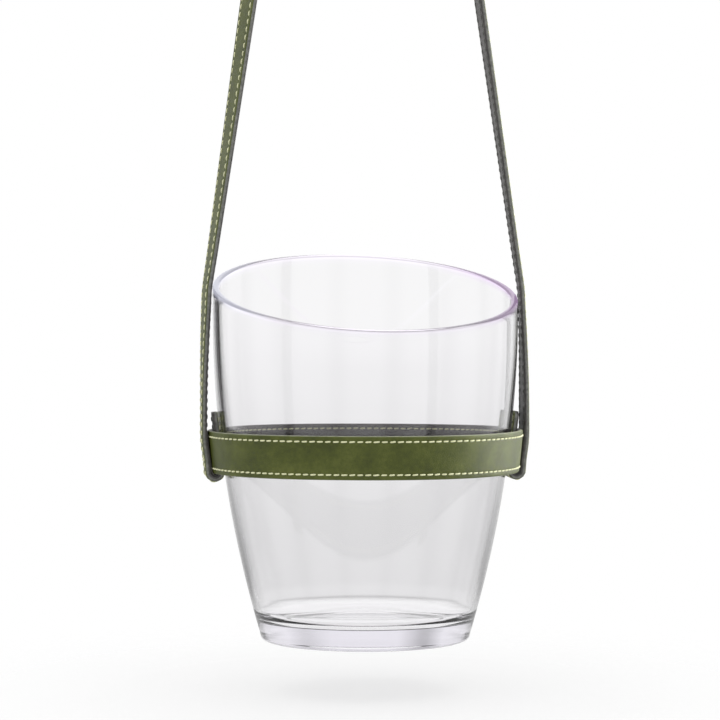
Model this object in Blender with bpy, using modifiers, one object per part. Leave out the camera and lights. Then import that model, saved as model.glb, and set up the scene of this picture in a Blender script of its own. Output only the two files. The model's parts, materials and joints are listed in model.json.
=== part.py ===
"""Clear bucket with a slanted rim, hanging in a leather band and a long leather strap.

The origin is the point of the strap that rests on a hook, and +Z is up. The two legs
of the strap come down at +X and -X, and the rim climbs from -Y to +Y. Inside the
script heights are counted from the surface that the bucket would stand on, and an
empty lowers the whole object until the hook's point is at the origin.
"""
import math

import bmesh
import bpy
from mathutils import Matrix, Vector

# ---------------------------------------------------------------- driving dimensions
# Bucket
RIM_RADIUS = 0.093
BASE_RADIUS = 0.063
TAPER_HEIGHT = 0.200          # the wall stands upright above this height
RIM_HEIGHT = 0.2126           # on the bucket's axis
RIM_SLANT = 0.266             # rise of the rim for each metre towards its high side
RIM_TURN = 3.5                # degrees from +Y round to the high side, about +Z
SLANT_START = 0.150           # the wall below this height is not sheared
WALL = 0.004
LIP_ROUNDING = 0.0012
FLOOR_TOP = 0.013
FLOOR_FILLET = 0.009
FOOT_ROUNDING = 0.003
FOOT_INNER_RADIUS = 0.050
RECESS_DEPTH = 0.0025

# Leather
LEATHER = 0.0014              # green outer layer
LINING = 0.0013               # dark inner layer
LAYER_GAP = 0.0003
EDGE_INSET = 0.003            # from a leather edge to its row of stitches
THREAD_RADIUS = 0.0003
CLEARANCE = 0.0003

# Band round the bucket
BAND_BOTTOM = 0.1024
BAND_TOP = 0.1274
BAND_INNER_X = 0.0934         # pushed out of round by the strap's two ends
BAND_INNER_Y = 0.0895
BAND_TAPER = 0.0025           # how much narrower the lower edge is, in radius

# Strap
STRAP_WIDTH = 0.020
SWING_HEIGHT = 0.1386         # where the strap flexes above the band
LEG_X = 0.0990                # middle of the strap where it passes the band
LEG_FOOT_X = 0.0967
TURN_HEIGHT = 0.1026          # middle of the turn under the band's lower edge
TURN_FLARE = 0.0003           # how far each side of the turn spreads above it
TAIL_FOOT_X = 0.0881
TAIL_TOP_X = 0.0909
TAIL_END_X = 0.0922
TAIL_END = 0.1385
TAIL_CORNER = 0.0015          # cut off each corner of the strap's ends
TAIL_TIP = 0.004              # length of the end that the cut takes up
SWING_GAP = 0.0004            # between a leg's round foot and the piece below it
JOIN_INSET = 0.006            # from the band's edges to the stitches through it
JOIN_MARGIN = 0.002           # from the edge stitches to the stitches through the band
RIM_PASS_X = 0.0964           # middle of the strap where it passes the rim
LEG_LEAN = 0.1442             # how fast each leg leans inwards above the rim
HOOK_RADIUS = 0.020           # inside of the bend over the hook

# Turn of the strap about its own length, in degrees, counted about +Z
LEFT_TWIST_RIM, LEFT_TWIST_MID = 6.5, 20.0
RIGHT_TWIST_RIM, RIGHT_TWIST_MID = -6.0, -0.5
HOOK_TWIST = 12.0
TWIST_MID_HEIGHT = 0.388

# Finish of the mesh
ROUND_STEPS = 72
LEG_STEPS = 14
BEND_STEPS = 10

COLLECTION = "sling_bucket"


# ---------------------------------------------------------------- scene and materials
def clear_scene():
    for item in list(bpy.data.objects):
        bpy.data.objects.remove(item, do_unlink=True)


def material(name, color, roughness, alpha=1.0):
    mat = bpy.data.materials.new(name)
    mat.use_nodes = True
    shader = mat.node_tree.nodes["Principled BSDF"]
    shader.inputs["Base Color"].default_value = (*color, 1.0)
    shader.inputs["Roughness"].default_value = roughness
    shader.inputs["Metallic"].default_value = 0.0
    shader.inputs["Alpha"].default_value = alpha
    return mat


def clear_acrylic(name):
    return material(name, (0.92, 0.92, 0.95), 0.05, alpha=0.3)


def green_leather(name):
    return material(name, (0.085, 0.100, 0.028), 0.45)


def dark_lining(name):
    return material(name, (0.060, 0.052, 0.048), 0.65)


def pale_thread(name):
    return material(name, (0.62, 0.64, 0.42), 0.70)


def add_object(name, data, mat, parent):
    """Link a sub-part whose data is given in heights above the standing surface."""
    obj = bpy.data.objects.new(name, data)
    data.materials.append(mat)
    obj.parent = parent
    obj.location.z = -parent.get("height", 0.0)
    bpy.data.collections[COLLECTION].objects.link(obj)
    return obj


def smooth(obj, angle=35.0):
    obj.data.shade_smooth()
    obj.data.set_sharp_from_angle(angle=math.radians(angle))


# ---------------------------------------------------------------- small geometry tools
def smoothstep(t):
    t = min(1.0, max(0.0, t))
    return t * t * (3.0 - 2.0 * t)


def spread(start, end, steps):
    """Evenly spaced values from start to end, both included."""
    return [start + (end - start) * i / steps for i in range(steps + 1)]


def arc(cx, cz, radius, start, end, steps):
    """Points (x, z) on an arc, with its angles in degrees."""
    angles = [math.radians(a) for a in spread(start, end, steps)]
    return [(cx + radius * math.cos(a), cz + radius * math.sin(a)) for a in angles]


# ---------------------------------------------------------------- bucket
def wall_radius(height):
    """Outside radius of the tulip-shaped wall, which flattens out towards the rim."""
    rise = max(0.0, 1.0 - height / TAPER_HEIGHT)
    return RIM_RADIUS - (RIM_RADIUS - BASE_RADIUS) * rise ** 2


def bucket_profile():
    """Outline from the middle of the floor, up the inside, over the lip and down."""
    fillet_top = FLOOR_TOP + FLOOR_FILLET
    inner_foot = wall_radius(fillet_top) - WALL
    lip = RIM_HEIGHT - LIP_ROUNDING
    inner_lip = wall_radius(lip) - WALL + LIP_ROUNDING
    outer_lip = wall_radius(lip) - LIP_ROUNDING
    corner = wall_radius(FOOT_ROUNDING) - FOOT_ROUNDING

    points = [(0.0, FLOOR_TOP)]
    points += arc(inner_foot - FLOOR_FILLET, fillet_top, FLOOR_FILLET, -90, -12, 4)
    points += [(wall_radius(z) - WALL, z) for z in spread(fillet_top + WALL, lip, 9)]
    points += arc(inner_lip, lip, LIP_ROUNDING, 135, 90, 1)
    points += arc(outer_lip, lip, LIP_ROUNDING, 90, 45, 1)
    points += [(wall_radius(z), z) for z in spread(lip, FOOT_ROUNDING, 10)]
    points += arc(corner, FOOT_ROUNDING, FOOT_ROUNDING, -30, -90, 2)
    points += [(FOOT_INNER_RADIUS, 0.0), (FOOT_INNER_RADIUS - RECESS_DEPTH, RECESS_DEPTH)]
    points += [(0.0, RECESS_DEPTH)]
    return points


def slant_rim(mesh_verts):
    """Shear the upper wall so that the rim climbs towards its high side."""
    high_side = Matrix.Rotation(math.radians(RIM_TURN), 3, "Z") @ Vector((0, 1, 0))
    for vert in mesh_verts:
        share = smoothstep((vert.co.z - SLANT_START) / (RIM_HEIGHT - SLANT_START))
        vert.co.z += RIM_SLANT * vert.co.dot(high_side) * share


def build_bucket(parent):
    bm = bmesh.new()
    verts = [bm.verts.new((x, 0.0, z)) for x, z in bucket_profile()]
    edges = [bm.edges.new(pair) for pair in zip(verts, verts[1:])]
    bmesh.ops.spin(bm, geom=verts + edges, cent=(0, 0, 0), axis=(0, 0, 1),
                   angle=math.tau, steps=ROUND_STEPS)
    bmesh.ops.remove_doubles(bm, verts=bm.verts, dist=0.00001)
    slant_rim(bm.verts)
    bmesh.ops.recalc_face_normals(bm, faces=bm.faces)
    mesh = bpy.data.meshes.new("bucket_shell")
    bm.to_mesh(mesh)
    bm.free()
    smooth(add_object("bucket_shell", mesh, clear_acrylic("acrylic"), parent))


# ---------------------------------------------------------------- band
def band_radii(offset, height):
    """Half widths along X and Y, offset outwards from the band's inner face."""
    share = (BAND_TOP - height) / (BAND_TOP - BAND_BOTTOM)
    shrink = BAND_TAPER * share - offset
    return BAND_INNER_X - shrink, BAND_INNER_Y - shrink


def build_band_layer(name, offset, thickness, mat, parent):
    """One layer of the band: an open tapered hoop, thickened about its middle."""
    middle = offset + thickness / 2
    low_x, low_y = band_radii(middle, BAND_BOTTOM)
    top_x, top_y = band_radii(middle, BAND_TOP)
    bm = bmesh.new()
    depth = BAND_TOP - BAND_BOTTOM
    rise = Matrix.Translation((0, 0, (BAND_TOP + BAND_BOTTOM) / 2))
    bmesh.ops.create_cone(bm, cap_ends=False, segments=ROUND_STEPS, radius1=1.0,
                          radius2=1.0, depth=depth, matrix=rise)
    for vert in bm.verts:
        upper = vert.co.z > rise.translation.z
        vert.co.x *= top_x if upper else low_x
        vert.co.y *= top_y if upper else low_y
    mesh = bpy.data.meshes.new(name)
    bm.to_mesh(mesh)
    bm.free()
    obj = add_object(name, mesh, mat, parent)
    thicken(obj, thickness)
    smooth(obj)


def thicken(obj, thickness):
    solid = obj.modifiers.new("thickness", "SOLIDIFY")
    solid.thickness = thickness
    solid.offset = 0.0
    solid.use_even_offset = True


def thread_curve(name, points, cyclic, parent):
    """A strand of sewing thread along the given points."""
    curve = bpy.data.curves.new(name, "CURVE")
    curve.dimensions = "3D"
    curve.bevel_depth = THREAD_RADIUS
    curve.bevel_resolution = 0
    curve.use_fill_caps = True
    spline = curve.splines.new("POLY")
    spline.points.add(len(points) - 1)
    for slot, point in zip(spline.points, points):
        slot.co = (*point, 1.0)
    spline.use_cyclic_u = cyclic
    add_object(name, curve, pale_thread(name + "_thread"), parent)


def build_band(parent):
    outer = LINING + LAYER_GAP
    build_band_layer("band_lining", 0.0, LINING, dark_lining("band_inside"), parent)
    build_band_layer("band_leather", outer, LEATHER, green_leather("band_outside"), parent)
    rows = {
        "band_thread_top": BAND_TOP - EDGE_INSET,
        "band_thread_bottom": BAND_BOTTOM + EDGE_INSET,
    }
    face = outer + LEATHER + CLEARANCE + THREAD_RADIUS
    for name, height in rows.items():
        half_x, half_y = band_radii(face, height)
        angles = [math.tau * (i + 0.5) / ROUND_STEPS for i in range(ROUND_STEPS)]
        ring = [(half_x * math.cos(a), half_y * math.sin(a), height) for a in angles]
        thread_curve(name, ring, True, parent)


# ---------------------------------------------------------------- strap
class Station:
    """A place on the strap: its middle, its half width and its three directions."""

    def __init__(self, middle, twist, half_width):
        self.middle = Vector(middle)
        self.across = Matrix.Rotation(math.radians(twist), 3, "Z") @ Vector((0, 1, 0))
        self.half_width = half_width
        self.outward = None

    def aim(self, along):
        """Square the cross direction to the strap's run and find its outer side."""
        along = along.normalized()
        self.across = (self.across - along * self.across.dot(along)).normalized()
        self.outward = along.cross(self.across)

    def point(self, side, offset):
        return self.middle + self.across * side + self.outward * offset


def aim_all(stations):
    last = len(stations) - 1
    for i, station in enumerate(stations):
        before = stations[max(i - 1, 0)].middle
        after = stations[min(i + 1, last)].middle
        station.aim(after - before)
    return stations


def bend_centre_height():
    """Height of the hook's middle, for legs that lean in from the rim to meet it."""
    lean = math.atan(LEG_LEAN)
    reach = RIM_PASS_X * math.cos(lean) + RIM_HEIGHT * math.sin(lean)
    return (reach - bend_radius()) / math.sin(lean)


def bend_radius():
    return HOOK_RADIUS + LINING + LAYER_GAP / 2


def hang_height():
    """Height of the strap's underside where it rests on the hook."""
    return bend_centre_height() + HOOK_RADIUS


def leg_twist(height, rim_twist, mid_twist):
    """Twist of one leg at a height: none at the band, the hook's own at the top."""
    top = bend_centre_height()
    if height < RIM_HEIGHT:
        return rim_twist * smoothstep((height - SWING_HEIGHT) / (RIM_HEIGHT - SWING_HEIGHT))
    if height < TWIST_MID_HEIGHT:
        share = (height - RIM_HEIGHT) / (TWIST_MID_HEIGHT - RIM_HEIGHT)
        return rim_twist + (mid_twist - rim_twist) * share
    share = (height - TWIST_MID_HEIGHT) / (top - TWIST_MID_HEIGHT)
    return mid_twist + (HOOK_TWIST - mid_twist) * smoothstep(share)


def leg_path(side):
    """Middle line of one leg from its round foot up to the bend, side being -1 or 1."""
    lean = math.atan(LEG_LEAN)
    radius = bend_radius()
    turn = math.radians(HOOK_TWIST)
    reach = side * radius * math.cos(lean)
    top = Vector((reach * math.cos(turn), reach * math.sin(turn),
                  bend_centre_height() + radius * math.sin(lean)))
    rim = Vector((side * RIM_PASS_X, 0.0, RIM_HEIGHT))
    half = STRAP_WIDTH / 2

    path = []
    for angle in (80, 55, 30):
        drop = half * math.sin(math.radians(angle))
        path.append((Vector((side * LEG_X, 0, SWING_HEIGHT - drop)),
                     half * math.cos(math.radians(angle))))
    for share in spread(0.0, 1.0, 6)[:-1]:
        x = LEG_X - (LEG_X - RIM_PASS_X) * share ** 2
        height = SWING_HEIGHT + (RIM_HEIGHT - SWING_HEIGHT) * share
        path.append((Vector((side * x, 0, height)), half))
    for share in spread(0.0, 1.0, LEG_STEPS):
        path.append((rim.lerp(top, share), half))
    return path


def strap_stations():
    """The long part of the strap, from the left foot over the hook to the right foot."""
    left_twists = (LEFT_TWIST_RIM, LEFT_TWIST_MID)
    right_twists = (RIGHT_TWIST_RIM, RIGHT_TWIST_MID)
    left = [Station(p, leg_twist(p.z, *left_twists), w) for p, w in leg_path(-1)]
    right = [Station(p, leg_twist(p.z, *right_twists), w) for p, w in leg_path(1)]

    lean = math.degrees(math.atan(LEG_LEAN))
    turn = math.radians(HOOK_TWIST)
    bend = []
    for x, z in arc(0.0, bend_centre_height(), bend_radius(), 180 - lean, lean,
                    BEND_STEPS)[1:-1]:
        middle = (x * math.cos(turn), x * math.sin(turn), z)
        bend.append(Station(middle, HOOK_TWIST, STRAP_WIDTH / 2))
    return aim_all(left + bend + right[::-1])


def loop_path():
    """The right end of the strap: down outside the band, under it and up inside it."""
    turn_middle = (LEG_FOOT_X + TAIL_FOOT_X) / 2
    turn_radius = (LEG_FOOT_X - TAIL_FOOT_X) / 2
    top = SWING_HEIGHT - STRAP_WIDTH / 2 - SWING_GAP
    foot = TURN_HEIGHT + JOIN_INSET
    path = [(LEG_X, top), (LEG_X, BAND_TOP - JOIN_INSET), (LEG_FOOT_X + TURN_FLARE, foot)]
    path += arc(turn_middle, TURN_HEIGHT, turn_radius, 0, -180, 10)
    path += [(TAIL_FOOT_X + TURN_FLARE, foot), (TAIL_TOP_X, BAND_TOP)]
    path += [(TAIL_END_X - TURN_FLARE, TAIL_END - TAIL_TIP), (TAIL_END_X, TAIL_END)]
    return path


def loop_stations(side):
    half = STRAP_WIDTH / 2
    stations = [Station((side * x, 0, z), 0.0, half) for x, z in loop_path()]
    stations[-1].half_width = half - TAIL_CORNER
    return aim_all(stations if side > 0 else stations[::-1])


def build_ribbon(name, stations, middle, thickness, mat, parent):
    """A strip of leather along the stations, its middle plane offset outwards."""
    bm = bmesh.new()
    rows = []
    for station in stations:
        half = station.half_width
        rows.append([bm.verts.new(station.point(side, middle)) for side in (-half, half)])
    for (a, b), (c, d) in zip(rows, rows[1:]):
        bm.faces.new((a, b, d, c))
    mesh = bpy.data.meshes.new(name)
    bm.to_mesh(mesh)
    bm.free()
    obj = add_object(name, mesh, mat, parent)
    thicken(obj, thickness)
    smooth(obj)


def build_strap_layers(prefix, stations, parent):
    leather_middle = (LAYER_GAP + LEATHER) / 2
    lining_middle = -(LAYER_GAP + LINING) / 2
    build_ribbon(prefix + "_leather", stations, leather_middle, LEATHER,
                 green_leather(prefix + "_outside"), parent)
    build_ribbon(prefix + "_lining", stations, lining_middle, LINING,
                 dark_lining(prefix + "_inside"), parent)


def outer_face():
    """How far the middle of a thread lies outside the strap's middle."""
    return LAYER_GAP / 2 + LEATHER + CLEARANCE + THREAD_RADIUS


def build_strap(parent):
    stations = strap_stations()
    build_strap_layers("strap", stations, parent)
    full = [s for s in stations if math.isclose(s.half_width, STRAP_WIDTH / 2)]
    inner_face = LAYER_GAP / 2 + LINING + CLEARANCE + THREAD_RADIUS
    row = STRAP_WIDTH / 2 - EDGE_INSET
    for place, side in (("front", -row), ("back", row)):
        outside = [s.point(side, outer_face()) for s in full]
        inside = [s.point(side, -inner_face) for s in full]
        thread_curve("strap_thread_" + place, outside, False, parent)
        thread_curve("strap_inner_thread_" + place, inside, False, parent)


def build_loop(name, side, parent):
    """One end of the strap, with its edge stitches and the stitches that join it."""
    stations = loop_stations(side)
    build_strap_layers(name + "_loop", stations, parent)
    outer_leg = [s for s in stations if abs(s.middle.x) > (LEG_FOOT_X + TAIL_FOOT_X) / 2]
    row = STRAP_WIDTH / 2 - EDGE_INSET
    for place, across in (("front", -row), ("back", row)):
        points = [s.point(across, outer_face()) for s in outer_leg]
        thread_curve(f"{name}_loop_thread_{place}", points, False, parent)

    join_half = row - JOIN_MARGIN
    join_x = side * (LEG_X + outer_face())
    foot_x = side * (LEG_FOOT_X + TURN_FLARE + outer_face())
    join_top = BAND_TOP - JOIN_INSET
    join_bottom = TURN_HEIGHT + JOIN_INSET
    frame = [(join_x, -join_half, join_top), (join_x, join_half, join_top),
             (foot_x, join_half, join_bottom), (foot_x, -join_half, join_bottom)]
    thread_curve(name + "_join_thread", frame, True, parent)


# ---------------------------------------------------------------- assembly
def add_empty(name, height, parent=None):
    """An empty at a height above the standing surface, or the frame for them all."""
    empty = bpy.data.objects.new(name, None)
    bpy.data.collections[COLLECTION].objects.link(empty)
    empty.parent = parent
    empty.location.z = height
    return empty


def main():
    clear_scene()
    bpy.context.scene.collection.children.link(bpy.data.collections.new(COLLECTION))
    standing_level = add_empty("standing_level", -hang_height())
    swing_axis = add_empty("swing_axis", SWING_HEIGHT, standing_level)
    swing_axis["height"] = SWING_HEIGHT

    build_strap(standing_level)
    build_bucket(swing_axis)
    build_band(swing_axis)
    build_loop("left", -1, swing_axis)
    build_loop("right", 1, swing_axis)


main()
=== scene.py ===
"""Looks of the clear bucket in its leather sling: acrylic, leather, edge paint and stitches."""

import json
import math

import bpy
import numpy as np
from mathutils import Matrix, Vector

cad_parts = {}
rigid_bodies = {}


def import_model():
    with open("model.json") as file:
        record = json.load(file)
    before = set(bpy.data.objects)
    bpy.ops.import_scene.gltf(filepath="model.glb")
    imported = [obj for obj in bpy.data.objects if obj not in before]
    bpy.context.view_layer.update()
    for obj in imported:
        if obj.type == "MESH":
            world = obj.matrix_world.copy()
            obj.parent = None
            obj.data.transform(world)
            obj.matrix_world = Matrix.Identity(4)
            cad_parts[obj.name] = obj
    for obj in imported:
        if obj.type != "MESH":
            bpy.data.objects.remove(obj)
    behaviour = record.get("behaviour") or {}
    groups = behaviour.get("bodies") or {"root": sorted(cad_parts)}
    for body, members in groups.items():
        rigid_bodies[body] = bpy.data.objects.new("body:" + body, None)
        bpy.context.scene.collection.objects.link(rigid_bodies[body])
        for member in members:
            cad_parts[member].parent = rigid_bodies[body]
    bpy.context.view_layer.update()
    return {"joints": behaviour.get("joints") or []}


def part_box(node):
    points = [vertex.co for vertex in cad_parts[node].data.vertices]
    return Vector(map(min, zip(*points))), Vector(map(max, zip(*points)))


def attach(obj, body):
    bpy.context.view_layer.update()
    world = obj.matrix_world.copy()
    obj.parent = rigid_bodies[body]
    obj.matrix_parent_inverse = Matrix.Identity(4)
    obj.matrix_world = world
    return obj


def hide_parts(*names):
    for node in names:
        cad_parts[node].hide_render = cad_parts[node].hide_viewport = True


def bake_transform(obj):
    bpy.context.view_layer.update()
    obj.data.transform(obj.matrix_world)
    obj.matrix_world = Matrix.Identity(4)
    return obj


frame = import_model()
MM = 0.001

# ---------------------------------------------------------------- measures from the frame
BUCKET_LOW, BUCKET_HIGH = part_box("bucket_shell")
BAND_LOW, BAND_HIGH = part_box("band_leather")
LINING_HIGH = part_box("band_lining")[1]
STRAP_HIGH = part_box("strap_leather")[1]
TAIL_LOW, TAIL_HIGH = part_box("right_loop_leather")
SWING_Z = frame["joints"][0]["pos_m"][2]

BASE_Z = BUCKET_LOW.z
RIM_RADIUS = BUCKET_HIGH.x

# Bucket, in heights above its base
BASE_RADIUS = 63 * MM
TAPER_HEIGHT = 200 * MM        # the wall stands upright above this height
RIM_SLANT = 0.266              # rise of the rim for each metre towards its high side
RIM_TURN = math.radians(3.5)   # from +Y round to the rim's high side, about +Z
CAD_LIP_ROUNDING = 1.2 * MM    # the CAD's highest point lies this far inside its radius
RIM_HEIGHT = BUCKET_HIGH.z - BASE_Z - RIM_SLANT * (RIM_RADIUS - CAD_LIP_ROUNDING)
SLANT_START = 150 * MM         # the wall below this height is not sheared
WALL = 4 * MM
LIP_ROUNDING = 1.3 * MM
LIP_TINT_AND_PAINTED_GLOW_DEPTH = 4 * MM        # how far the lip's tint and its painted glow reach down
FLOOR_TOP = 13 * MM
FLOOR_FILLET = 9 * MM
FOOT_ROUNDING = 3 * MM
FOOT_INNER_RADIUS = 50 * MM
FOOT_EASE = 0.4 * MM           # width of the softened edge inside the foot ring
RECESS_DEPTH = 2.5 * MM
RECESS_EASE = 0.5 * MM         # and of the softened corner of the recess
EASE_DROP = 0.1 * MM           # depth of both
FLOOR_RINGS = (20 * MM, 40 * MM)
BUCKET_STEPS = 192

# Leather: half of the sewn thickness on each side of the glued middle
OUTER_HALF = 1.55 * MM
INNER_HALF = 1.45 * MM
LINING_DEPTH = 1.3 * MM
GREEN_ROUNDING = 0.7 * MM      # of the green layer's edges
LINING_ROUNDING = 0.6 * MM
BAND_CROWN = 0.15 * MM         # how much the green layer domes between its edges
STRAP_CROWN = 0.18 * MM
GREEN_REST = 0.03 * MM         # height of the green layer's back above the glued middle
LINING_REST = -0.01 * MM       # and of the lining's
LAYER_INSET = 0.02 * MM        # how much narrower those two faces are, on each side
PAINT_BULGE = 0.22 * MM        # of the edge paint, past the leather's edge
PAINT_HOLD = 0.35 * MM         # how far it reaches into the leather
PAINT_STOP_OUT = 0.45 * MM     # from the green layer's face to the paint
PAINT_STOP_IN = 0.40 * MM      # from the lining's face
PAINT_SLOPE = 0.1 * MM

# Stitches
EDGE_INSET = 3 * MM            # from a leather edge to its row of stitches
GROOVE_DEPTH = 0.20 * MM
GROOVE_WIDTH = 0.65 * MM
THREAD_LIFT = 0.02 * MM        # of a stitch's holes above the groove's depth
BAND_PITCH = 4.57 * MM
STRAP_PITCH = 4.9 * MM
ROW_MARGIN = 2 * MM            # from a strap end to its first stitch
STITCH_LENGTH = 3.7 * MM
STITCH_RINGS = 8
STITCH_SIDES = 8
THREAD_RADIUS = 0.52 * MM
STITCH_SLANT = 4.0             # degrees off the row
STITCH_SLANT_SPREAD = 1.5      # most that a stitch differs from it
STITCH_SIZE_SPREAD = 0.05      # and from the length, as a share

# Band
BAND_TAPER = 2.5 * MM          # how much narrower the lower edge is, in radius
BAND_STEPS = 260
BAND_RIPPLES = ((5, 0.12 * MM, 0.6), (11, 0.08 * MM, 0.0))   # waves a turn, height, start
BAND_WAVES, BAND_WAVE, BAND_WAVE_START = 3, 0.15 * MM, 1.0   # the same, up and down

# Strap: its middle line, from the tail inside the band, round the turn and up the leg
STRAP_HALF = 10 * MM
STRAP_CORNER = 3 * MM          # rounding of the corners of its ends
ROUTE_SPACING = 2 * MM
LEG_X = STRAP_HIGH.x - OUTER_HALF - 0.6 * MM   # a little nearer the band than in the CAD
LEG_FOOT_X = LEG_X - 2.1 * MM
TURN_Z = BAND_LOW.z + 0.2 * MM
STRAIGHT_START = 6 * MM        # from the turn, or the band's upper edge, to a straight run
TAIL_FOOT_X = TAIL_LOW.x + OUTER_HALF
TAIL_TOP_X = TAIL_FOOT_X + 2.8 * MM
TAIL_END_X = TAIL_FOOT_X + 4.1 * MM
TAIL_END_Z = TAIL_HIGH.z
RIM_PASS_X = RIM_RADIUS + 3.4 * MM
RIM_Z = BASE_Z + RIM_HEIGHT
LEG_LEAN = 0.1442              # how fast each leg leans inwards above the rim
SEAM_SWELL = 0.55              # how much thicker the lining is where it is sewn down
SEAM_TOP, SEAM_FADE = BAND_HIGH.z + 1 * MM, 3 * MM
TURN_SWELL = 0.55              # and how much more it bunches inside the turn
BUNCH_TOP, BUNCH_FADE = BAND_LOW.z + 3 * MM, 4 * MM
HOOK_RADIUS = 20 * MM
BEND_RADIUS = HOOK_RADIUS + INNER_HALF
BEND_Z = -HOOK_RADIUS

# Turn of each leg about its own length, in degrees: at the rim and at TWIST_MID_Z
LEFT_TWISTS = (6.5, 20.0)
RIGHT_TWISTS = (-6.0, -0.5)
TWIST_MID_Z = BASE_Z + 388 * MM
HOOK_TWIST = 12.0

# Stitches through strap, band and tail
JOIN_LOW_RISE = 7 * MM         # above the turn
JOIN_HIGH_DROP = 5.5 * MM      # below the band's upper edge
JOIN_MARGIN = 2 * MM           # from the edge stitches
JOIN_LIFT = 0.05 * MM          # off the leather
JOIN_STITCHES = 3              # in each row

# Studio
CAMERA_TURN = math.radians(-7.0)
CAMERA_DISTANCE = 1.45
CAMERA_HEIGHT = 0.192          # above the bucket's base
CAMERA_PITCH = math.radians(-0.87)
CAMERA_YAW = math.radians(-0.125)
SENSOR_WIDTH = 36.0            # in mm, like the focal length
FOCAL_LENGTH = 118.85
FLOOR_DROP = 32 * MM           # the bucket hangs this far above the floor
FLOOR_HALF = 0.6
FLOOR_FADE = (0.16, 0.34)      # radii between which the floor fades out
FLOOR_SHADE = 0.26             # low, so that the shadow stays faint
FLOOR_GLOW = 0.68              # brings the lit floor up to white
ROOM_STRENGTH = 0.95


# ---------------------------------------------------------------- small tools
def smoothstep(t):
    t = min(1.0, max(0.0, t))
    return t * t * (3.0 - 2.0 * t)


def spread(start, end, steps):
    return [start + (end - start) * i / steps for i in range(steps + 1)]


def arc(cx, cz, radius, start, end, steps):
    angles = [math.radians(a) for a in spread(start, end, steps)]
    return [(cx + radius * math.cos(a), cz + radius * math.sin(a)) for a in angles]


def make_object(name, verts, faces, mat, body, uvs=None, sharp=40.0):
    """A shaded mesh piece that rides on a body. uvs holds one (u, v) for each vertex."""
    mesh = bpy.data.meshes.new(name)
    mesh.from_pydata([tuple(v) for v in verts], [], faces)
    mesh.materials.append(mat)
    if uvs is not None:
        layer = mesh.uv_layers.new(name="strip")
        corners = [uvs[loop.vertex_index] for loop in mesh.loops]
        layer.data.foreach_set("uv", np.array(corners, np.float32).ravel())
    mesh.shade_smooth()
    mesh.set_sharp_from_angle(angle=math.radians(sharp))
    mesh.validate()
    obj = bpy.data.objects.new(name, mesh)
    bpy.context.scene.collection.objects.link(obj)
    if body:
        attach(obj, body)
    return obj


# ---------------------------------------------------------------- materials
class Nodes:
    """The node tree of a material or a world, with short calls to add and link nodes."""

    def __init__(self, owner):
        self.owner = owner
        self.owner.use_nodes = True
        self.tree = owner.node_tree
        self.shader = self.tree.nodes.get("Principled BSDF")

    def add(self, kind, **inputs):
        node = self.tree.nodes.new(kind)
        for key, value in inputs.items():
            node.inputs[key.replace("_", " ")].default_value = value
        return node

    def link(self, output, socket):
        self.tree.links.new(output, socket)

    def set(self, **inputs):
        for key, value in inputs.items():
            self.shader.inputs[key.replace("_", " ")].default_value = value

    def place(self, uv_layer, scale):
        """A UV layer's coordinates, or the object's own without one, times scale."""
        if uv_layer:
            source = self.tree.nodes.new("ShaderNodeUVMap")
            source.uv_map = uv_layer
            output = source.outputs["UV"]
        else:
            source = self.tree.nodes.new("ShaderNodeTexCoord")
            output = source.outputs["Object"]
        mapping = self.add("ShaderNodeMapping")
        mapping.inputs["Scale"].default_value = (scale, scale, scale)
        self.link(output, mapping.inputs["Vector"])
        return mapping.outputs["Vector"]

    def part(self, vector, axis):
        node = self.tree.nodes.new("ShaderNodeSeparateXYZ")
        self.link(vector, node.inputs[0])
        return node.outputs[axis]

    def noise(self, vector, scale, detail=4.0, roughness=0.5):
        node = self.add("ShaderNodeTexNoise", Scale=scale, Detail=detail, Roughness=roughness)
        self.link(vector, node.inputs["Vector"])
        return node.outputs["Fac"]

    def voronoi(self, vector, scale):
        """Distance to the nearest edge between cells."""
        node = self.tree.nodes.new("ShaderNodeTexVoronoi")
        node.feature = "DISTANCE_TO_EDGE"
        node.inputs["Scale"].default_value = scale
        self.link(vector, node.inputs["Vector"])
        return node.outputs["Distance"]

    def ramp(self, factor, stops):
        node = self.tree.nodes.new("ShaderNodeValToRGB")
        elements = node.color_ramp.elements
        while len(elements) < len(stops):
            elements.new(0.5)
        for element, (position, color) in zip(elements, stops):
            element.position = position
            element.color = (*color, 1.0)
        self.link(factor, node.inputs["Fac"])
        return node.outputs["Color"]

    def mix(self, factor, a, b, blend="MIX"):
        """Mix of two colours; factor is a number or an output."""
        node = self.tree.nodes.new("ShaderNodeMix")
        node.data_type = "RGBA"
        node.blend_type = blend
        if isinstance(factor, float):
            node.inputs[0].default_value = factor
        else:
            self.link(factor, node.inputs[0])
        self.link(a, node.inputs[6])
        self.link(b, node.inputs[7])
        return node.outputs[2]

    def math(self, operation, a, b=0.0):
        node = self.tree.nodes.new("ShaderNodeMath")
        node.operation = operation
        for socket, value in zip(node.inputs, (a, b)):
            if isinstance(value, float):
                socket.default_value = value
            else:
                self.link(value, socket)
        return node.outputs[0]

    def map_range(self, value, low, high, to_low, to_high):
        node = self.add("ShaderNodeMapRange")
        for key, number in zip(("From Min", "From Max", "To Min", "To Max"),
                               (low, high, to_low, to_high)):
            node.inputs[key].default_value = number
        self.link(value, node.inputs["Value"])
        return node.outputs["Result"]

    def bump(self, height, strength, distance, normal=None):
        node = self.add("ShaderNodeBump", Strength=strength, Distance=distance)
        self.link(height, node.inputs["Height"])
        if normal:
            self.link(normal, node.inputs["Normal"])
        return node.outputs["Normal"]

    def finish(self, color=None, roughness=None, normal=None):
        for output, key in ((color, "Base Color"), (roughness, "Roughness"), (normal, "Normal")):
            if output:
                self.link(output, self.shader.inputs[key])
        return self.owner


def new_material(name):
    return Nodes(bpy.data.materials.new(name))


def linear(*srgb):
    """An sRGB colour, 0 to 255 and not near black, as linear values."""
    return tuple(((c / 255 + 0.055) / 1.055) ** 2.4 for c in srgb)


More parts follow.
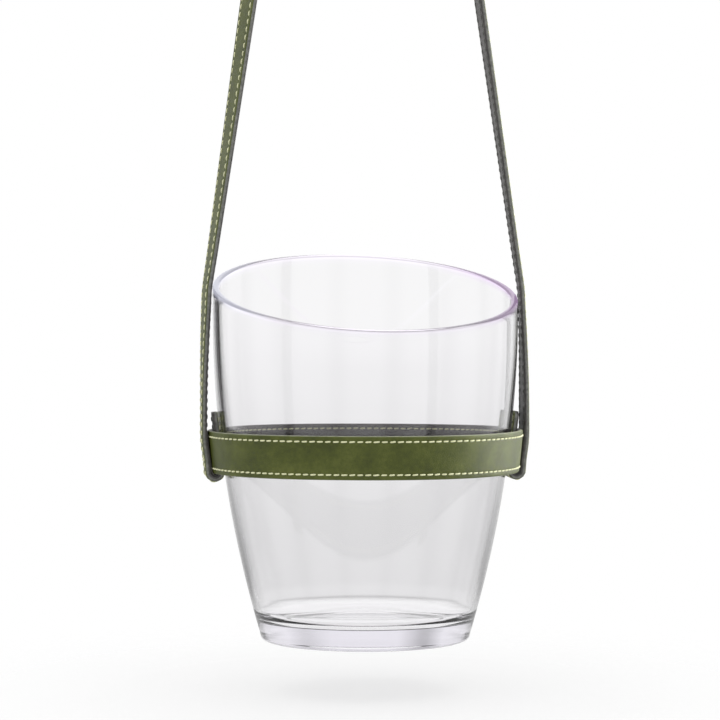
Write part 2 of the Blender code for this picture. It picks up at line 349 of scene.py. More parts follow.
def leather_material(name, dark, middle, light, sheen, grain):
    """Vegetable-tanned leather: mottled dye, fine pebbled grain with painted shade in the hollows
    between its pebbles, and creases.

    Its coordinates are millimetres, so a scale is the number of features in each one.
    """
    n = new_material(name)
    space = n.place("strip", 1000.0)
    clouds = n.noise(space, 0.055, 5.0, 0.6)
    mottle = n.noise(space, 0.34, 5.0, 0.65)
    fleck = n.noise(space, 3.2, 2.0, 0.5)
    tone = n.math("ADD", n.math("MULTIPLY", clouds, 0.55), n.math("MULTIPLY", mottle, 0.30))
    tone = n.math("ADD", tone, n.math("MULTIPLY", fleck, 0.15))
    color = n.ramp(tone, [(0.36, dark), (0.50, middle), (0.66, light)])
    pebble = n.map_range(n.voronoi(space, 1.5), 0.0, 0.22, 0.0, 1.0)
    creases = n.map_range(n.voronoi(space, 0.42), 0.0, 0.05, 0.0, 1.0)
    # painted shade: darker in the hollows between the grain's pebbles
    painted_shade = n.ramp(pebble, [(0.0, (0.72,) * 3), (0.5, (1.0,) * 3)])
    color = n.mix(0.6, color, n.mix(1.0, color, painted_shade, "MULTIPLY"))
    roughness = n.map_range(mottle, 0.3, 0.7, 0.36, 0.50)
    normal = n.bump(creases, 0.25 * grain, 0.00008)
    normal = n.bump(pebble, 0.55 * grain, 0.00012, normal)
    normal = n.bump(fleck, 0.25 * grain, 0.0001, normal)
    n.set(Specular_IOR_Level=0.34, Coat_Weight=sheen, Coat_Roughness=0.38)
    return n.finish(color, roughness, normal)


def edge_paint_material(name, low, middle, high):
    """Cut edges: pale paint on the green layer, dark on the lining, and painted shade, near black,
    where the lining swells at the seam and inside the turn.

    Its coordinates are millimetres: Y is the height above the glued middle.
    """
    n = new_material(name)
    space = n.place("strip", 1000.0)
    wear = n.noise(space, 0.35, 4.0, 0.65)
    fine = n.noise(space, 2.5, 2.0, 0.5)
    grey = n.ramp(wear, [(0.35, low), (0.52, middle), (0.70, high)])
    black = n.ramp(wear, [(0.35, linear(54, 52, 51)), (0.70, linear(88, 86, 83))])
    height = n.part(space, "Y")
    in_green = n.map_range(height, -0.42, -0.22, 0.0, 1.0)
    # painted shade: the lining's edge turns near black where it is swollen, in the gap between
    # strap and band and inside the turn
    clear_of_painted_shade = n.map_range(height, -1.6, -1.2, 0.0, 1.0)
    painted_shade = n.ramp(clear_of_painted_shade, [(0.0, (0.18,) * 3), (1.0, (1.0,) * 3)])
    black = n.mix(1.0, black, painted_shade, "MULTIPLY")
    normal = n.bump(fine, 0.3, 0.0001)
    n.set(Roughness=0.5, Coat_Weight=0.08, Coat_Roughness=0.3)
    return n.finish(n.mix(in_green, black, grey), None, normal)


def thread_material(name, dark, middle, light):
    """Waxed two-ply thread, its plies wound round each other, with painted shade in the hollows
    between them.
    """
    n = new_material(name)
    space = n.place("strip", 1.0)
    wave = n.tree.nodes.new("ShaderNodeTexWave")
    wave.wave_type = "BANDS"
    wave.bands_direction = "DIAGONAL"
    wave.inputs["Scale"].default_value = 1.6
    n.link(space, wave.inputs["Vector"])
    # painted shade: darker where the bump is low, between the plies
    color = n.ramp(wave.outputs["Fac"], [(0.0, dark), (0.45, middle), (1.0, light)])
    normal = n.bump(wave.outputs["Fac"], 0.6, 0.00008)
    n.set(Roughness=0.62, Sheen_Weight=0.2)
    return n.finish(color, None, normal)


# Acrylic: colour of the wall, near the lip and at the lip, and a glow painted on the lip, standing
# in for light piped up the wall
CLEAR_TINTS = ((0.985, 0.982, 0.988), (0.97, 0.955, 0.985), (0.93, 0.89, 0.955))
PAINTED_VIOLET_TINTS = ((0.985, 0.982, 0.988), (0.90, 0.84, 0.94), (0.66, 0.50, 0.76))
PAINTED_GLOW_FAINT = ((0.0, 0.0, 0.0), (0.02, 0.019, 0.022), (0.20, 0.18, 0.215))
PAINTED_GLOW_COOL = ((0.0, 0.0, 0.0), (0.06, 0.06, 0.075), (0.44, 0.45, 0.53))
PAINTED_GLOW_VIOLET = ((0.0, 0.0, 0.0), (0.03, 0.02, 0.035), (0.30, 0.20, 0.34))
TINT_KNEE, PAINTED_GLOW_KNEE = 0.55, 0.45
PAINTED_VIOLET_START_X = 55 * MM       # the lip takes a painted violet colour fringe from here to its +X end
PAINTED_GLOW_COOL_START_X = -60 * MM        # and its painted glow is stronger from here to its -X end
DEPTH_COLOR = (0.72, 0.68, 0.82, 1.0)
DEPTH_DENSITY = 4.0
ACRYLIC_IOR = 1.49


def acrylic_material():
    """Clear cast acrylic: a cool tint in its depth, a painted violet fringe at the lip's +X end,
    and a glow painted on the lip, which is no lamp.
    """
    n = new_material("clear_acrylic")
    lip = n.part(n.place("strip", 1.0), "Y")
    x = n.part(n.place(None, 1.0), "X")
    # right: mask of the painted violet fringe and violet glow at the lip's +X end
    right = n.map_range(x, PAINTED_VIOLET_START_X, RIM_RADIUS, 0.0, 1.0)
    # left: mask of the stronger painted glow at the lip's -X end
    left = n.map_range(x, PAINTED_GLOW_COOL_START_X, -RIM_RADIUS, 0.0, 1.0)

    def up_to_lip(colors, knee):
        return n.ramp(lip, list(zip((0.0, knee, 1.0), colors)))

    # painted light: the lip's colour turns violet towards +X, a painted colour fringe of split
    # light
    color = n.mix(right, up_to_lip(CLEAR_TINTS, TINT_KNEE), up_to_lip(PAINTED_VIOLET_TINTS, TINT_KNEE))
    # painted glow: emission on the lip, which is no lamp, cooler and stronger towards -X and violet
    # towards +X
    painted_glow = n.mix(left, up_to_lip(PAINTED_GLOW_FAINT, PAINTED_GLOW_KNEE), up_to_lip(PAINTED_GLOW_COOL, PAINTED_GLOW_KNEE))
    painted_glow = n.mix(right, painted_glow, up_to_lip(PAINTED_GLOW_VIOLET, PAINTED_GLOW_KNEE))
    n.link(painted_glow, n.shader.inputs["Emission Color"])
    polish_marks = n.noise(n.place(None, 1000.0), 0.02, 2.0, 0.5)
    normal = n.bump(polish_marks, 0.05, 0.0004)
    n.set(Emission_Strength=1.0, Roughness=0.015, IOR=ACRYLIC_IOR, Transmission_Weight=1.0,
          Specular_IOR_Level=0.5)
    depth = n.tree.nodes.new("ShaderNodeVolumeAbsorption")
    depth.inputs["Color"].default_value = DEPTH_COLOR
    depth.inputs["Density"].default_value = DEPTH_DENSITY
    n.link(depth.outputs[0], n.tree.nodes["Material Output"].inputs["Volume"])
    return n.finish(color, None, normal)


# ---------------------------------------------------------------- bucket
def wall_radius(height):
    """Outer radius of the wall: a parabola up to TAPER_HEIGHT, then upright."""
    rise = max(0.0, 1.0 - height / TAPER_HEIGHT)
    return RIM_RADIUS - (RIM_RADIUS - BASE_RADIUS) * rise ** 2


def bucket_profile():
    """Outline from the middle of the floor, up the inside, over the lip and down."""
    fillet_top = FLOOR_TOP + FLOOR_FILLET
    inner_foot = wall_radius(fillet_top) - WALL
    lip = RIM_HEIGHT - LIP_ROUNDING
    inner_lip = wall_radius(lip) - WALL + LIP_ROUNDING
    outer_lip = wall_radius(lip) - LIP_ROUNDING
    corner = wall_radius(FOOT_ROUNDING) - FOOT_ROUNDING
    recess = FOOT_INNER_RADIUS - RECESS_DEPTH

    points = [(radius, FLOOR_TOP) for radius in (0.0, *FLOOR_RINGS)]
    points += arc(inner_foot - FLOOR_FILLET, fillet_top, FLOOR_FILLET, -90, -12, 12)
    points += [(wall_radius(z) - WALL, z) for z in spread(fillet_top + 2 * MM, lip, 44)]
    points += arc(inner_lip, lip, LIP_ROUNDING, 165, 90, 5)
    points += arc(outer_lip, lip, LIP_ROUNDING, 90, 15, 5)
    points += [(wall_radius(z), z) for z in spread(lip, FOOT_ROUNDING, 48)]
    points += arc(corner, FOOT_ROUNDING, FOOT_ROUNDING, -15, -90, 6)
    points += [(FOOT_INNER_RADIUS + FOOT_EASE, 0.0), (FOOT_INNER_RADIUS, EASE_DROP)]
    points += [(recess, RECESS_DEPTH)]
    points += [(radius, RECESS_DEPTH + EASE_DROP)
               for radius in (recess - RECESS_EASE, FLOOR_RINGS[0], 0.0)]
    return points


def build_bucket():
    """The profile turned about the axis, sheared towards the rim's high side near the top."""
    steps = BUCKET_STEPS
    verts, faces, rings, uvs = [], [], [], []
    for x, z in bucket_profile():
        lip_share = smoothstep((z - RIM_HEIGHT + LIP_TINT_AND_PAINTED_GLOW_DEPTH) / LIP_TINT_AND_PAINTED_GLOW_DEPTH)
        if x == 0.0:
            rings.append([len(verts)] * steps)
            verts.append((0.0, 0.0, BASE_Z + z))
            uvs.append((0.0, 0.0))
            continue
        share = smoothstep((z - SLANT_START) / (RIM_HEIGHT - SLANT_START))
        ring = []
        for i in range(steps):
            angle = math.tau * i / steps
            climb = RIM_SLANT * x * math.sin(angle - RIM_TURN) * share
            ring.append(len(verts))
            verts.append((x * math.cos(angle), x * math.sin(angle), BASE_Z + z + climb))
            uvs.append((i / steps, lip_share))
        rings.append(ring)
    for below, above in zip(rings, rings[1:]):
        for i in range(steps):
            j = (i + 1) % steps
            corners = [below[i], above[i], above[j], below[j]]
            faces.append(tuple(dict.fromkeys(corners)))
    obj = make_object("bucket", verts, faces, acrylic_material(), "bucket", uvs, sharp=60)
    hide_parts("bucket_shell")


# ---------------------------------------------------------------- strips of leather
# Sample points across a strip, in mm from its edge, and where the evenly spaced ones start
MM_FROM_EDGE = (0.0, 0.08, 0.22, 0.45, 0.8, 1.3, 1.9, 2.3, 2.65, 3.0, 3.35, 3.7, 4.3, 5.4)
MIDDLE_MARGIN = 7.5 * MM


class Strip:
    """A run of leather: the middle, run, cross and outward direction at each station.

    swell says how many times thicker the lining side is at each station.
    """

    def __init__(self, middles, across, half_widths, cyclic, swell=None):
        self.swell = np.ones(len(middles)) if swell is None else np.array(swell, float)
        self.middles = np.array(middles, float)
        self.cyclic = cyclic
        self.half_widths = np.array(half_widths, float)
        along = np.zeros_like(self.middles)
        if cyclic:
            along = np.roll(self.middles, -1, axis=0) - np.roll(self.middles, 1, axis=0)
        else:
            along[1:-1] = self.middles[2:] - self.middles[:-2]
            along[0] = self.middles[1] - self.middles[0]
            along[-1] = self.middles[-1] - self.middles[-2]
        self.along = along / np.linalg.norm(along, axis=1)[:, None]
        cross = np.array(across, float)
        cross -= self.along * (cross * self.along).sum(1)[:, None]
        self.across = cross / np.linalg.norm(cross, axis=1)[:, None]
        self.outward = np.cross(self.along, self.across)
        follow = np.roll(self.middles, -1, axis=0) if cyclic else self.middles[1:]
        before = self.middles if cyclic else self.middles[:-1]
        steps = np.linalg.norm(follow - before, axis=1)
        self.total = float(steps.sum())
        self.lengths = np.concatenate([[0.0], np.cumsum(steps)])[:len(self.middles)]

    def at(self, distance):
        """Middle, run, cross and outward direction at a distance along the strip."""
        count = len(self.middles)
        marks = np.append(self.lengths, self.total) if self.cyclic else self.lengths
        i = int(np.clip(np.searchsorted(marks, distance) - 1, 0, len(marks) - 2))
        share = (distance - marks[i]) / (marks[i + 1] - marks[i])
        j = (i + 1) % count
        mixed = [a[i] + (a[j] - a[i]) * share
                 for a in (self.middles, self.along, self.across, self.outward)]
        return [mixed[0]] + [m / np.linalg.norm(m) for m in mixed[1:]]


def across_samples(half):
    """Places across a strip, closer together at the edges and the stitch grooves."""
    left = [-half + d * MM for d in MM_FROM_EDGE]
    middle = spread(-half + MIDDLE_MARGIN, half - MIDDLE_MARGIN, 4)
    return left + middle + [-u for u in reversed(left)]


def face_height(u, half, top, crown, roundness):
    """Height of a leather face above the glued middle, across its width."""
    edge = half - abs(u)
    drop = 0.0
    if edge < roundness:
        drop = roundness - math.sqrt(max(0.0, roundness ** 2 - (roundness - edge) ** 2))
    groove = math.exp(-((edge - EDGE_INSET) / GROOVE_WIDTH) ** 2) * GROOVE_DEPTH
    return top - drop - groove + crown * (1.0 - (u / half) ** 2)


def tube_faces(count, size, cyclic):
    """Faces that join a run of rings, with caps on a run that isn't a loop."""
    faces = []
    for i in range(count if cyclic else count - 1):
        j = (i + 1) % count
        for k in range(size):
            m = (k + 1) % size
            faces.append((i * size + k, i * size + m, j * size + m, j * size + k))
    if not cyclic:
        faces.append(tuple(reversed(range(size))))
        faces.append(tuple((count - 1) * size + k for k in range(size)))
    return faces


def station_points(strip, i, u, v):
    """Points at offsets u across and v outward of station i, and their swollen heights."""
    out = np.where(v < 0, v * strip.swell[i], v)
    points = strip.middles[i][None, :] + np.outer(u, strip.across[i])
    return points + np.outer(out, strip.outward[i]), out


def sweep(name, strip, section, mat, body):
    """Carry a closed section of (across, outward) along a strip, as wide as the strip."""
    u, v = np.array(section).T
    verts, uvs = [], []
    for i, half_width in enumerate(strip.half_widths):
        points, _ = station_points(strip, i, u * (half_width / u.max()), v)
        verts.extend(points)
        uvs.extend([(strip.lengths[i], x) for x in u])
    faces = tube_faces(len(strip.middles), len(section), strip.cyclic)
    return make_object(name, verts, faces, mat, body, uvs, sharp=50)


def sweep_edge(name, strip, section, half, mat, body):
    """Like sweep, for a section at one edge, which keeps its size where the strip narrows."""
    u, v = np.array(section).T
    verts, uvs = [], []
    for i, half_width in enumerate(strip.half_widths):
        points, out = station_points(strip, i, u + (half_width - half) * np.sign(u), v)
        verts.extend(points)
        uvs.extend([(strip.lengths[i], x) for x in out])
    faces = tube_faces(len(strip.middles), len(section), strip.cyclic)
    return make_object(name, verts, faces, mat, body, uvs, sharp=60)


def leather_section(half, top, crown):
    """Section of the green layer: domed and grooved above, flat below."""
    us = across_samples(half)
    upper = [(u, face_height(u, half, top, crown, GREEN_ROUNDING)) for u in us]
    inset = half - LAYER_INSET
    lower = [(inset, GREEN_REST), (-inset, GREEN_REST)]
    return (upper + lower)[::-1]


def lining_section(half, depth):
    """Section of the lining: flat against the green layer, rounded and grooved behind."""
    us = across_samples(half)
    under = [(u, -face_height(u, half, depth, 0.0, LINING_ROUNDING)) for u in us]
    inset = half - LAYER_INSET
    upper = [(inset, LINING_REST), (-inset, LINING_REST)]
    return under + upper


def paint_strip(name, strip, side, half, mat, body):
    """The painted edge: a low bead that covers the joint between the two layers."""
    reach_out = OUTER_HALF - PAINT_STOP_OUT
    reach_in = INNER_HALF - PAINT_STOP_IN
    section = []
    for angle in spread(-90, 90, 10):
        a = math.radians(angle)
        height = reach_out * math.sin(a) if angle > 0 else reach_in * math.sin(a)
        section.append((side * (half + PAINT_BULGE * math.cos(a)), height))
    section.append((side * (half - PAINT_HOLD), reach_out - PAINT_SLOPE))
    section.append((side * (half - PAINT_HOLD), -reach_in + PAINT_SLOPE))
    if side < 0:
        section = section[::-1]
    return sweep_edge(name, strip, section, half, mat, body)


# ---------------------------------------------------------------- stitches
def stitch_shape():
    """One stitch, along X and standing in Z: a bowed capsule that dips into its holes."""
    rings, sides = STITCH_RINGS, STITCH_SIDES
    verts, uvs = [], []
    for i in range(rings + 1):
        t = -1.0 + 2.0 * i / rings
        bow = THREAD_RADIUS * (0.55 - 1.15 * abs(t) ** 3)
        radius = THREAD_RADIUS * (1.0 - 0.35 * abs(t) ** 5)
        for k in range(sides):
            a = math.tau * k / sides
            verts.append((t * STITCH_LENGTH / 2, radius * math.cos(a) * 0.95,
                          bow + radius * math.sin(a) * 0.85))
            uvs.append((t * 2.0, k / sides * 2.0))
    return np.array(verts), tube_faces(rings + 1, sides, False), uvs


STITCH_VERTS, STITCH_FACES, STITCH_UVS = stitch_shape()
OUTER_ROW_HEIGHT = OUTER_HALF - GROOVE_DEPTH + THREAD_LIFT
INNER_ROW_HEIGHT = INNER_HALF - GROOVE_DEPTH + THREAD_LIFT


def stitch_mesh(name, places, mat, body):
    """Many stitches as one piece; each place is (middle, along, up).

    Each stitch slants across its row and is a little longer or shorter than the next.
    """
    verts, faces, uvs = [], [], []
    for index, (middle, along, up) in enumerate(places):
        slant = math.radians(STITCH_SLANT + STITCH_SLANT_SPREAD * math.sin(index * 2.39))
        side = np.cross(up, along)
        run = along * math.cos(slant) + side * math.sin(slant)
        side = np.cross(up, run)
        size = 1.0 + STITCH_SIZE_SPREAD * math.sin(index * 1.71)
        base = len(verts)
        shape = (np.outer(STITCH_VERTS[:, 0] * size, run) + np.outer(STITCH_VERTS[:, 1], side)
                 + np.outer(STITCH_VERTS[:, 2], up))
        verts.extend(middle[None, :] + shape)
        faces.extend([tuple(base + v for v in f) for f in STITCH_FACES])
        uvs.extend([(u + index * 0.37, v) for u, v in STITCH_UVS])
    obj = make_object(name, verts, faces, mat, body, uvs, sharp=80)
    return obj


def row_places(strip, offset, face, margin, wanted_pitch):
    """Stitches in a row along a strip: offset across it, and face above its middle.

    A negative face is on the lining.
    """
    length = strip.total - 2 * margin
    count = round(length / wanted_pitch)
    pitch = length / count
    places = []
    for i in range(count):
        middle, along, across, outward = strip.at(margin + (i + 0.5) * pitch)
        up = outward if face > 0 else -outward
        places.append((middle + across * offset + outward * face, along, up))
    return places


# ---------------------------------------------------------------- band
def build_band():
    """The band: a hoop, out of round where the strap's ends pass inside it."""
    half = (BAND_HIGH.z - BAND_LOW.z) / 2
    middle_z = (BAND_HIGH.z + BAND_LOW.z) / 2
    glue = INNER_HALF - LINING_DEPTH
    reach_x = LINING_HIGH.x - BAND_TAPER / 2 + glue
    reach_y = LINING_HIGH.y - BAND_TAPER / 2 + glue
    lean = BAND_TAPER / (2 * half)
    middles, across = [], []
    for i in range(BAND_STEPS):
        a = math.tau * i / BAND_STEPS
        ripple = sum(size * math.sin(waves * a + start) for waves, size, start in BAND_RIPPLES)
        middles.append(((reach_x + ripple) * math.cos(a), (reach_y + ripple) * math.sin(a),
                        middle_z + BAND_WAVE * math.sin(BAND_WAVES * a + BAND_WAVE_START)))
        across.append((lean * math.cos(a), lean * math.sin(a), 1.0))
    strip = Strip(middles, across, [half] * BAND_STEPS, cyclic=True)

    outer = sweep("band_leather_skin", strip, leather_section(half, OUTER_HALF, BAND_CROWN),
                  MATERIALS["green"], "bucket")
    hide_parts("band_leather")
    inner = sweep("band_lining_skin", strip, lining_section(half, INNER_HALF),
                  MATERIALS["lining"], "bucket")
    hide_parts("band_lining")
    for side, name in ((1, "band_edge_top"), (-1, "band_edge_bottom")):
        edge = paint_strip(name, strip, side, half, MATERIALS["pale_and_painted_highlight_paint"], "bucket")

    row = half - EDGE_INSET
    for side, name in ((1, "top"), (-1, "bottom")):
        places = row_places(strip, side * row, OUTER_ROW_HEIGHT, 0.0, BAND_PITCH)
        places += row_places(strip, side * row, -INNER_ROW_HEIGHT, 0.0, BAND_PITCH)
        stitches = stitch_mesh("band_stitches_" + name, places, MATERIALS["thread"], "bucket")
        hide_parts("band_thread_" + name)


# ---------------------------------------------------------------- strap
def leg_twist(z, rim_twist, mid_twist):
    """Turn of a leg about its own length: none at the band, the hook's own at the top."""
    if z < RIM_Z:
        return rim_twist * smoothstep((z - SWING_Z) / (RIM_Z - SWING_Z))
    if z < TWIST_MID_Z:
        return rim_twist + (mid_twist - rim_twist) * (z - RIM_Z) / (TWIST_MID_Z - RIM_Z)
    share = smoothstep((z - TWIST_MID_Z) / (BEND_Z - TWIST_MID_Z))
    return mid_twist + (HOOK_TWIST - mid_twist) * share


def half_route(side, twists):
    """Middle line of one half of the strap, from its tail end up to the hook's side.

    Each point is (x, y, z, twist in degrees).
    """
    lean = math.atan(LEG_LEAN)
    turn = math.radians(HOOK_TWIST)
    points = [(TAIL_END_X, 0.0, TAIL_END_Z), (TAIL_END_X - 0.4 * MM, 0.0, TAIL_END_Z - 4 * MM),
              (TAIL_TOP_X, 0.0, BAND_HIGH.z),
              (TAIL_FOOT_X + 0.2 * MM, 0.0, TURN_Z + STRAIGHT_START)]
    turn_x = (LEG_FOOT_X + TAIL_FOOT_X) / 2
    turn_radius = (LEG_FOOT_X - TAIL_FOOT_X) / 2
    points += [(x, 0.0, z) for x, z in arc(turn_x, TURN_Z, turn_radius, -180, 0, 14)]
    points += [(LEG_FOOT_X + 0.4 * MM, 0.0, TURN_Z + STRAIGHT_START)]
    points += [(LEG_X - 0.1 * MM, 0.0, BAND_HIGH.z - STRAIGHT_START), (LEG_X, 0.0, SWING_Z)]
    for share in spread(0.0, 1.0, 8)[1:]:
        x = LEG_X - (LEG_X - RIM_PASS_X) * share ** 2
        points.append((x, 0.0, SWING_Z + (RIM_Z - SWING_Z) * share))
    reach = BEND_RADIUS * math.cos(lean)
    top = (reach * math.cos(turn), side * reach * math.sin(turn),
           BEND_Z + BEND_RADIUS * math.sin(lean))
    start = points[-1]
    for share in spread(0.0, 1.0, 24)[1:]:
        points.append(tuple(s + (t - s) * share for s, t in zip(start, top)))
    return [(side * x, y, z, leg_twist(z, *twists)) for x, y, z in points]


def strap_route():
    """The whole middle line: the left half, the bend over the hook and the right half."""
    left = half_route(-1, LEFT_TWISTS)
    right = half_route(1, RIGHT_TWISTS)
    lean = math.degrees(math.atan(LEG_LEAN))
    turn = math.radians(HOOK_TWIST)
    bend = [(x * math.cos(turn), x * math.sin(turn), z, HOOK_TWIST)
            for x, z in arc(0.0, BEND_Z, BEND_RADIUS, 180 - lean, lean, 16)[1:-1]]
    return left + bend + right[::-1]


def smooth_route(points, spacing):
    """Evenly spaced points on a centripetal Catmull-Rom curve through the given ones."""
    p = np.array(points, float)
    p = np.vstack([2 * p[0] - p[1], p, 2 * p[-1] - p[-2]])
    dense = []
    for a, b, c, d in zip(p, p[1:], p[2:], p[3:]):
        knots = [0.0]
        for start, end in ((a, b), (b, c), (c, d)):
            knots.append(knots[-1] + max(np.linalg.norm((end - start)[:3]), 1e-6) ** 0.5)
        k0, k1, k2, k3 = knots
        for t in np.linspace(k1, k2, 12, endpoint=False):
            q1 = a + (b - a) * (t - k0) / (k1 - k0)
            q2 = b + (c - b) * (t - k1) / (k2 - k1)
            q3 = c + (d - c) * (t - k2) / (k3 - k2)
            r1 = q1 + (q2 - q1) * (t - k0) / (k2 - k0)
            r2 = q2 + (q3 - q2) * (t - k1) / (k3 - k1)
            dense.append(r1 + (r2 - r1) * (t - k1) / (k2 - k1))
    dense.append(p[-2])
    dense = np.array(dense)
    steps = np.linalg.norm(np.diff(dense[:, :3], axis=0), axis=1)
    marks = np.concatenate([[0.0], np.cumsum(steps)])
    wanted = np.linspace(0.0, marks[-1], int(marks[-1] / spacing) + 1)
    return np.stack([np.interp(wanted, marks, dense[:, i]) for i in range(4)], axis=1)


def build_strap():
    """The strap in one piece, swept along one route from tail to tail, on no body."""
    route = smooth_route(strap_route(), ROUTE_SPACING)
    across, widths, swell = [], [], []
    for i, (x, y, z, twist) in enumerate(route):
        pressed = SEAM_SWELL * smoothstep((SEAM_TOP - z) / SEAM_FADE)
        bunched = TURN_SWELL * smoothstep((BUNCH_TOP - z) / BUNCH_FADE)
        swell.append(1.0 + pressed + bunched)
        a = math.radians(twist)
        across.append((-math.sin(a), math.cos(a), 0.0))
        from_end = min(i, len(route) - 1 - i) * ROUTE_SPACING
        short = max(0.0, STRAP_CORNER - from_end)
        cut = STRAP_CORNER - math.sqrt(max(0.0, STRAP_CORNER ** 2 - short ** 2))
        widths.append(STRAP_HALF - cut)
    strip = Strip(route[:, :3], across, widths, False, swell)

    pieces = []
    outer = sweep("strap_leather_skin", strip,
                  leather_section(STRAP_HALF, OUTER_HALF, STRAP_CROWN),
                  MATERIALS["green"], None)
    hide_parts("strap_leather", "left_loop_leather", "right_loop_leather")
    inner = sweep("strap_lining_skin", strip, lining_section(STRAP_HALF, INNER_HALF),
                  MATERIALS["lining"], None)
    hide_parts("strap_lining", "left_loop_lining", "right_loop_lining")
    pieces += [outer, inner]
    for side, name in ((-1, "strap_edge_front"), (1, "strap_edge_back")):
        edge = paint_strip(name, strip, side, STRAP_HALF, MATERIALS["paint"], None)
        pieces.append(edge)

    row = STRAP_HALF - EDGE_INSET
    for side, name in ((-1, "front"), (1, "back")):
        places = row_places(strip, side * row, OUTER_ROW_HEIGHT, ROW_MARGIN, STRAP_PITCH)
        outside = stitch_mesh("strap_stitches_" + name, places, MATERIALS["thread"], None)
        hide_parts("strap_thread_" + name, "left_loop_thread_" + name,
                    "right_loop_thread_" + name)
        places = row_places(strip, side * row, -INNER_ROW_HEIGHT, ROW_MARGIN, STRAP_PITCH)
        inside = stitch_mesh("strap_inner_stitches_" + name, places, MATERIALS["bobbin"], None)
        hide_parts("strap_inner_thread_" + name)
        pieces += [outside, inside]
    for piece in pieces:
        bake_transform(piece)


def build_joins():
    """Stitches through strap, band and tail, on the outer face of each strap end."""
    lean = (LEG_X - LEG_FOOT_X) / (BAND_HIGH.z - TURN_Z)
    half = STRAP_HALF - EDGE_INSET - JOIN_MARGIN
    for side, name in ((-1, "left"), (1, "right")):
        places = []
        outward = np.array((side * 1.0, 0.0, -lean))
        outward /= np.linalg.norm(outward)
        for z in (TURN_Z + JOIN_LOW_RISE, BAND_HIGH.z - JOIN_HIGH_DROP):
            x = LEG_FOOT_X + lean * (z - TURN_Z) + OUTER_HALF + JOIN_LIFT
            for y in spread(-half, half, JOIN_STITCHES)[:-1]:
                middle = np.array((side * x, y + half / JOIN_STITCHES, z))
                places.append((middle, np.array((0.0, 1.0, 0.0)), outward))
        stitches = stitch_mesh(name + "_join_stitches", places, MATERIALS["thread"], "bucket")
        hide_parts(name + "_join_thread")


# ---------------------------------------------------------------- stage
def build_floor():
    """A pale floor just under the hanging bucket, fading out around it."""
    n = new_material("floor")
    centre = n.place(None, 1.0)
    reach = n.math("POWER", n.part(centre, "X"), 2.0)
    reach = n.math("ADD", reach, n.math("POWER", n.part(centre, "Y"), 2.0))
    shown = n.map_range(n.math("SQRT", reach), *FLOOR_FADE, 1.0, 0.0)
    n.set(Base_Color=(*(FLOOR_SHADE,) * 3, 1.0), Roughness=0.9, Specular_IOR_Level=0.0,
          Emission_Color=(1.0, 1.0, 1.0, 1.0), Emission_Strength=FLOOR_GLOW)
    n.link(shown, n.shader.inputs["Alpha"])
    z = BASE_Z - FLOOR_DROP
    corners = [(x * FLOOR_HALF, y * FLOOR_HALF, z) for x, y in ((-1, -1), (1, -1), (1, 1), (-1, 1))]
    floor = make_object("floor", corners, [(0, 1, 2, 3)], n.owner, None)


# The room around the object: eight bright walls, 45 degrees apart, with a darker gap
# after each, going clockwise from behind the camera
GAP_LIGHT = [0.70, 0.66, 0.68, 0.60, 0.80, 0.66, 0.62, 0.70]
# Where a gap starts, is dark and ends after its wall, in turns
GAP_STEPS = (0.032, 0.058, 0.067, 0.093)
# Brightness at each height of the direction above the horizon, as its sine
ROOM_UP = [(-1.0, 0.92), (-0.55, 0.84), (-0.34, 0.68), (-0.20, 0.52), (-0.12, 0.76),
           (-0.03, 0.97), (0.0, 1.0), (0.24, 1.0), (0.275, 0.84), (0.30, 0.84), (0.33, 1.05),
           (1.0, 1.25)]


def room_stops():
    """Brightness around the room as ramp stops, 0 to 1 for one whole turn."""
    stops = []
    for i, gap in enumerate(GAP_LIGHT):
        wall = i / len(GAP_LIGHT)
        fade_in, dark, dark_end, fade_out = (wall + step for step in GAP_STEPS)
        stops += [(fade_in, 1.0), (dark, gap), (dark_end, gap), (fade_out, 1.0)]
    return [(place, (light,) * 3) for place, light in stops]


def build_world():
    """White behind the object; a room of lit and dark sides for the acrylic to bend."""
    scene = bpy.context.scene
    world = bpy.data.worlds.new("studio")
    n = Nodes(world)
    n.tree.nodes.clear()
    out = n.tree.nodes.new("ShaderNodeOutputWorld")
    seen = n.add("ShaderNodeBackground", Color=(1.0, 1.0, 1.0, 1.0), Strength=1.0)

    turn = n.add("ShaderNodeMapping")
    turn.inputs["Rotation"].default_value = (0.0, 0.0, -CAMERA_TURN)
    n.link(n.tree.nodes.new("ShaderNodeTexCoord").outputs["Generated"], turn.inputs["Vector"])
    side, ahead, up = (n.part(turn.outputs["Vector"], axis) for axis in "XYZ")
    bearing = n.map_range(n.math("ARCTAN2", side, ahead), -math.pi, math.pi, 0.0, 1.0)
    round_light = n.ramp(bearing, room_stops())
    up_light = n.ramp(n.map_range(up, -1.0, 1.0, 0.0, 1.0),
                      [((h + 1) / 2, (v,) * 3) for h, v in ROOM_UP])
    around = n.add("ShaderNodeBackground", Strength=ROOM_STRENGTH)
    n.link(n.mix(1.0, round_light, up_light, "MULTIPLY"), around.inputs["Color"])

    path = n.tree.nodes.new("ShaderNodeLightPath")
    mix = n.tree.nodes.new("ShaderNodeMixShader")
    n.link(path.outputs["Is Camera Ray"], mix.inputs[0])
    n.link(around.outputs[0], mix.inputs[1])
    n.link(seen.outputs[0], mix.inputs[2])
    n.link(mix.outputs[0], out.inputs[0])
    scene.world = world
    scene.view_settings.view_transform = "Standard"


def area_light(name, place, aim, size, power):
    """A rectangular light, itself unseen by the camera and in the acrylic."""
    data = bpy.data.lights.new(name, "AREA")
    data.shape = "RECTANGLE"
    data.size, data.size_y = size
    data.energy = power
    obj = bpy.data.objects.new(name, data)
    obj.location = place
    direction = Vector(aim) - Vector(place)
    obj.rotation_mode = "QUATERNION"
    obj.rotation_quaternion = direction.to_track_quat("-Z", "Y")
    obj.visible_camera = False
    obj.visible_glossy = False
    obj.visible_transmission = False
    bpy.context.scene.collection.objects.link(obj)
    return obj


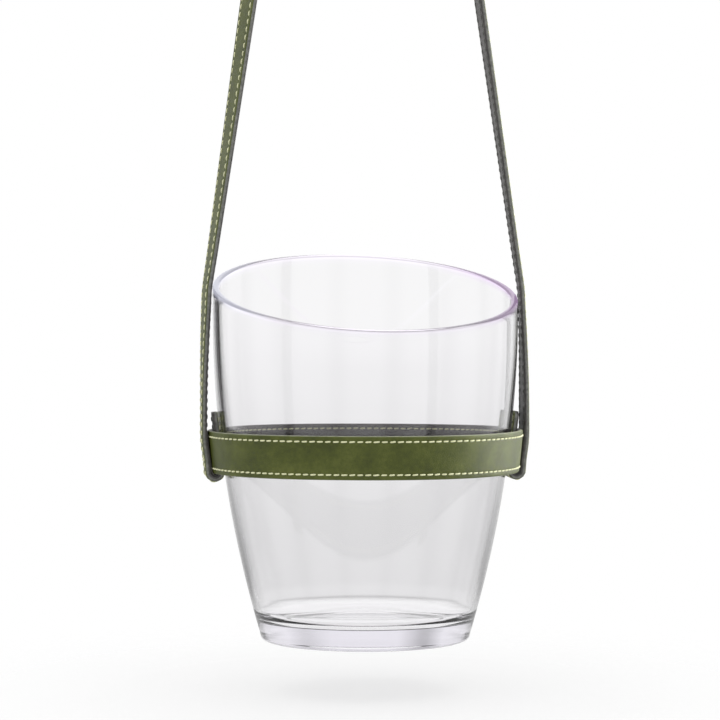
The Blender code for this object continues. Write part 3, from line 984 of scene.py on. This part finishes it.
def build_lights():
    """A soft light from above, and one from the right that falls on the leather alone."""
    heart = (0.0, 0.0, BASE_Z + 0.12)
    leather = bpy.data.collections.new("leather")
    for piece in bpy.context.scene.collection.objects:
        if piece.name.startswith(("band_", "strap_", "left_", "right_")):
            leather.objects.link(piece)
    side = area_light("side_right", (1.25, 0.3, BASE_Z + 0.5), heart, (0.9, 1.6), 26.0)
    side.visible_glossy = True
    side.light_linking.receiver_collection = leather
    area_light("overhead", (0.0, -0.2, BASE_Z + 2.0), heart, (2.2, 2.2), 14.0)


def build_camera():
    """Nearly level with the rim, a little to the left of straight ahead."""
    forward = Vector((-math.sin(CAMERA_TURN), math.cos(CAMERA_TURN), 0.0))
    right = Vector((math.cos(CAMERA_TURN), math.sin(CAMERA_TURN), 0.0))
    place = -forward * CAMERA_DISTANCE + Vector((0, 0, BASE_Z + CAMERA_HEIGHT))
    ahead = forward * math.cos(CAMERA_YAW) + right * math.sin(CAMERA_YAW)
    right = right * math.cos(CAMERA_YAW) - forward * math.sin(CAMERA_YAW)
    up = Vector((0, 0, 1))
    look = ahead * math.cos(CAMERA_PITCH) + up * math.sin(CAMERA_PITCH)
    up = up * math.cos(CAMERA_PITCH) - ahead * math.sin(CAMERA_PITCH)
    data = bpy.data.cameras.new("camera")
    data.sensor_width = SENSOR_WIDTH
    data.lens = FOCAL_LENGTH
    data.clip_start = 0.05
    camera = bpy.data.objects.new("camera", data)
    basis = Matrix((right, up, -look)).transposed().to_4x4()
    camera.matrix_world = Matrix.Translation(place) @ basis
    bpy.context.scene.collection.objects.link(camera)
    bpy.context.scene.camera = camera


# ---------------------------------------------------------------- put together
GREEN = (linear(60, 67, 17), linear(77, 85, 24), linear(97, 104, 42))
DARK = (linear(60, 57, 56), linear(78, 75, 73), linear(98, 95, 91))
MATERIALS = {
    "green": leather_material("green_leather", *GREEN, 0.04, 1.0),
    "lining": leather_material("dark_lining", *DARK, 0.02, 0.7),
    "paint": edge_paint_material("edge_paint", linear(92, 93, 88), linear(114, 115, 109),
                                 linear(138, 138, 130)),
    # the band's edge paint: its own greener tint, and paler than the strap's as a painted highlight
    # of light caught from above
    "pale_and_painted_highlight_paint": edge_paint_material("band_edge_paint_with_painted_highlight", linear(118, 122, 98),
                                      linear(138, 142, 115), linear(160, 163, 134)),
    "thread": thread_material("pale_thread", linear(196, 195, 142), linear(238, 238, 192),
                              linear(248, 249, 212)),
    "bobbin": thread_material("bobbin_thread", linear(74, 76, 72), linear(104, 106, 100),
                              linear(122, 124, 117)),
}

build_camera()
build_world()
build_floor()
build_bucket()
build_band()
build_strap()
build_joins()
build_lights()
